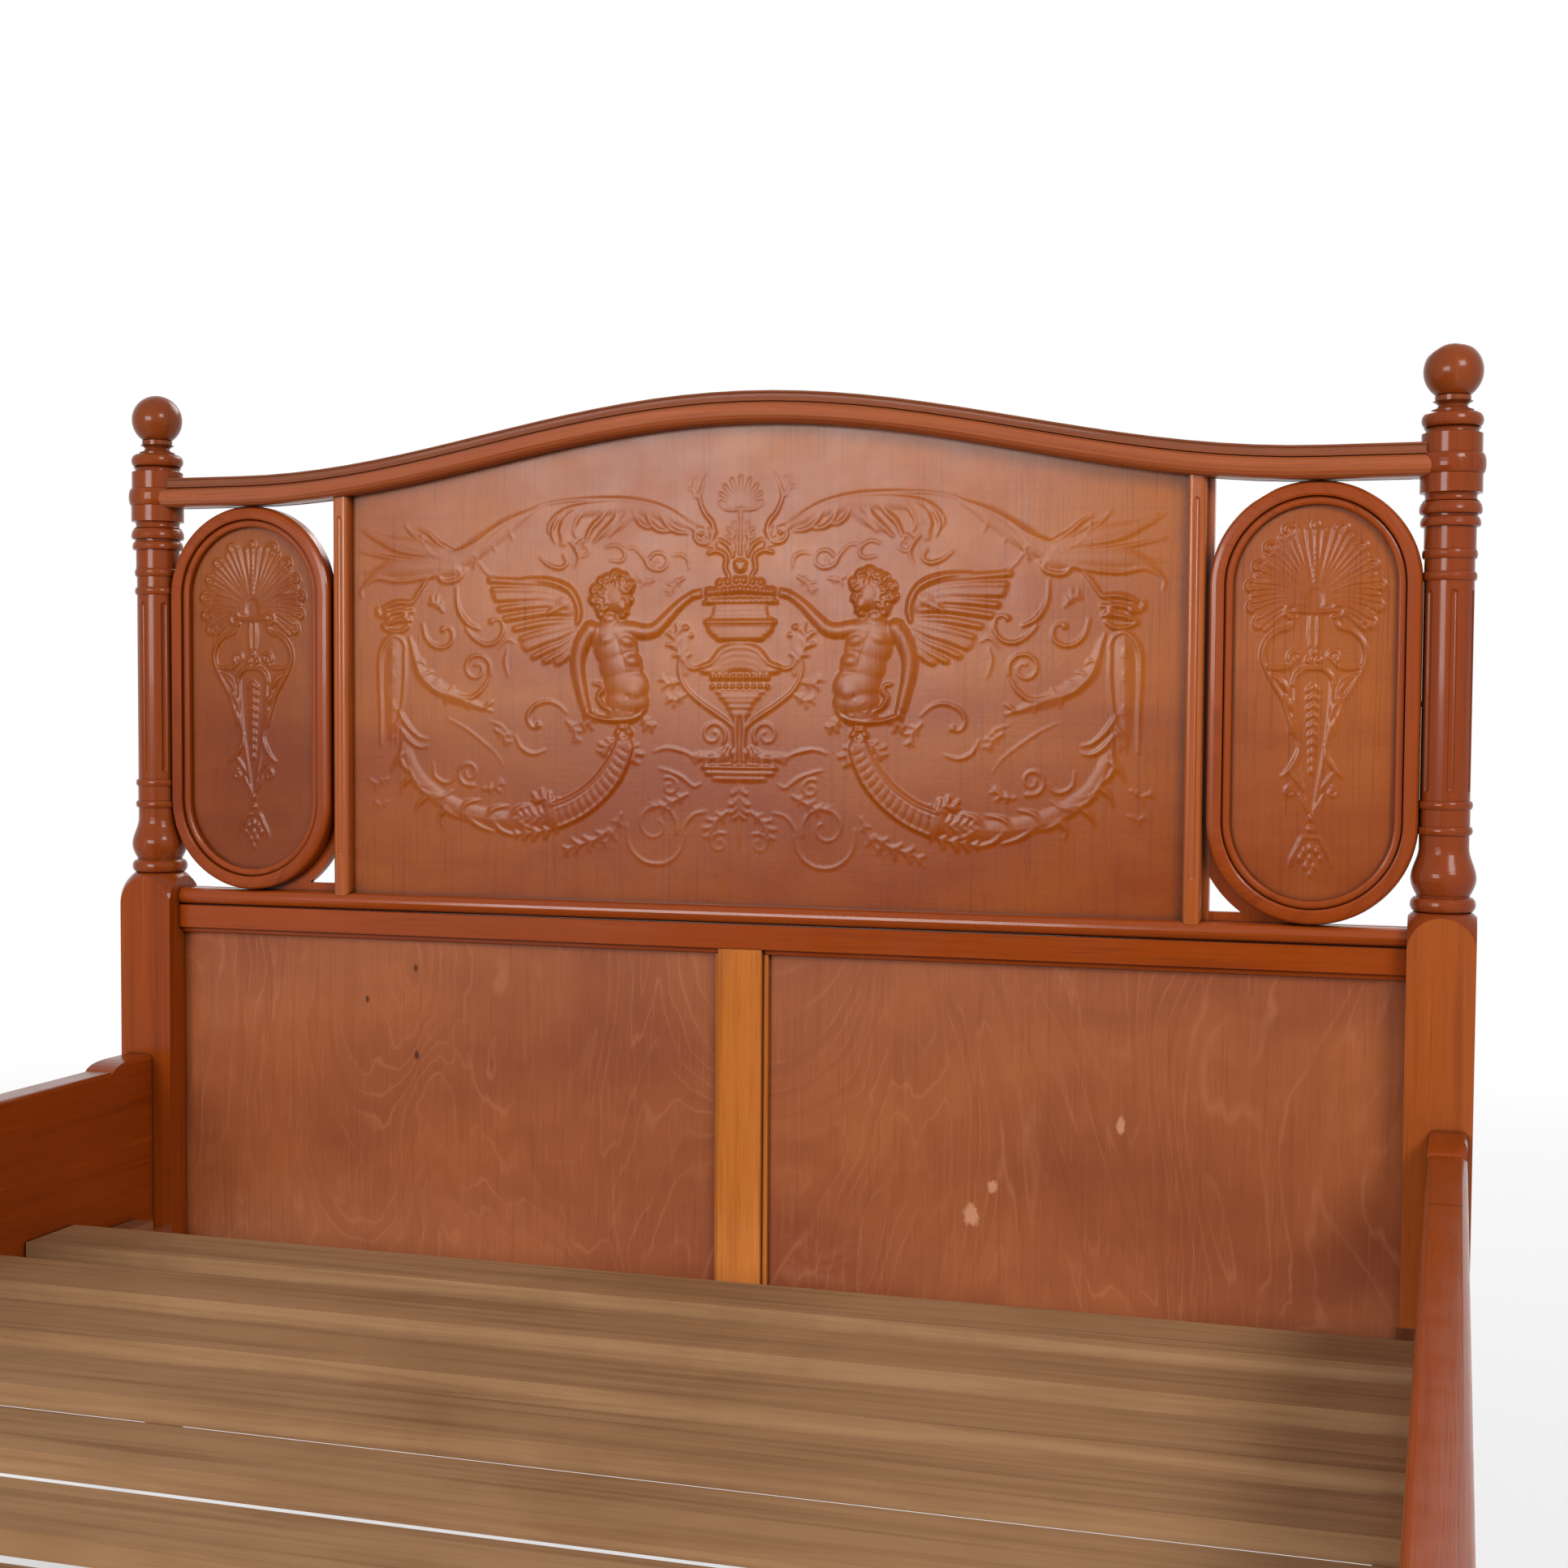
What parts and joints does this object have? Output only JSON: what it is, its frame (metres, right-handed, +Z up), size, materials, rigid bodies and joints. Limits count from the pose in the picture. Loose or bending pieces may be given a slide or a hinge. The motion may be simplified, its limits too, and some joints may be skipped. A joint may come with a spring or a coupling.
{
  "type": "bentwood bed",
  "caption": "Double bed with turned posts and ball finials, serpentine moulded crest rails, bentwood oval frames, pressed and plain panels, hooked side rails and loose slats.",
  "frame": {"origin": "on the floor, midway between the four posts", "axes": "+Z up; +X to the right of someone who stands at the foot end and looks at the headboard; +Y towards the headboard"},
  "size_m": [1.505, 2.05, 1.2706],
  "materials": {
    "beech": "red-brown stain under glossy shellac",
    "beech_dark": "thin brown stain",
    "plywood": "stained and polished beech plywood",
    "plain_wood": "unfinished softwood",
    "steel": "dull, browned"
  },
  "bodies": {
    "root": {"head_post_left": "beech", "head_post_right": "beech", "head_finial_left": "beech", "head_finial_right": "beech", "head_crest_rail": "beech", "head_mid_rail": "beech", "head_bottom_rail": "beech", "head_muntin": "beech", "head_stile_left": "beech", "head_stile_right": "beech", "head_centre_panel": "plywood", "head_lower_panel_left": "plywood", "head_lower_panel_right": "plywood", "oval_frame_left": "beech", "oval_frame_right": "beech", "oval_panel_left": "plywood", "oval_panel_right": "plywood", "oval_dowels": "beech_dark", "corner_bracket_left": "beech_dark", "corner_bracket_right": "beech_dark", "foot_post_left": "beech", "foot_post_right": "beech", "foot_finial_left": "beech", "foot_finial_right": "beech", "foot_crest_rail": "beech", "foot_bottom_rail": "beech", "foot_muntin": "beech", "foot_panel_left": "plywood", "foot_panel_right": "plywood", "side_rail_left": "beech", "side_rail_right": "beech", "ledger_left": "beech_dark", "ledger_right": "beech_dark", "slat_01": "plain_wood", "slat_02": "plain_wood", "slat_03": "plain_wood", "slat_04": "plain_wood", "slat_05": "plain_wood", "slat_06": "plain_wood", "slat_07": "plain_wood", "slat_08": "plain_wood", "slat_09": "plain_wood", "slat_10": "plain_wood", "slat_11": "plain_wood", "slat_12": "plain_wood", "rail_hook_plates": "steel", "post_slot_plates": "steel", "plate_screws": "steel", "ledger_screws": "steel"}
  },
  "joints": []
}
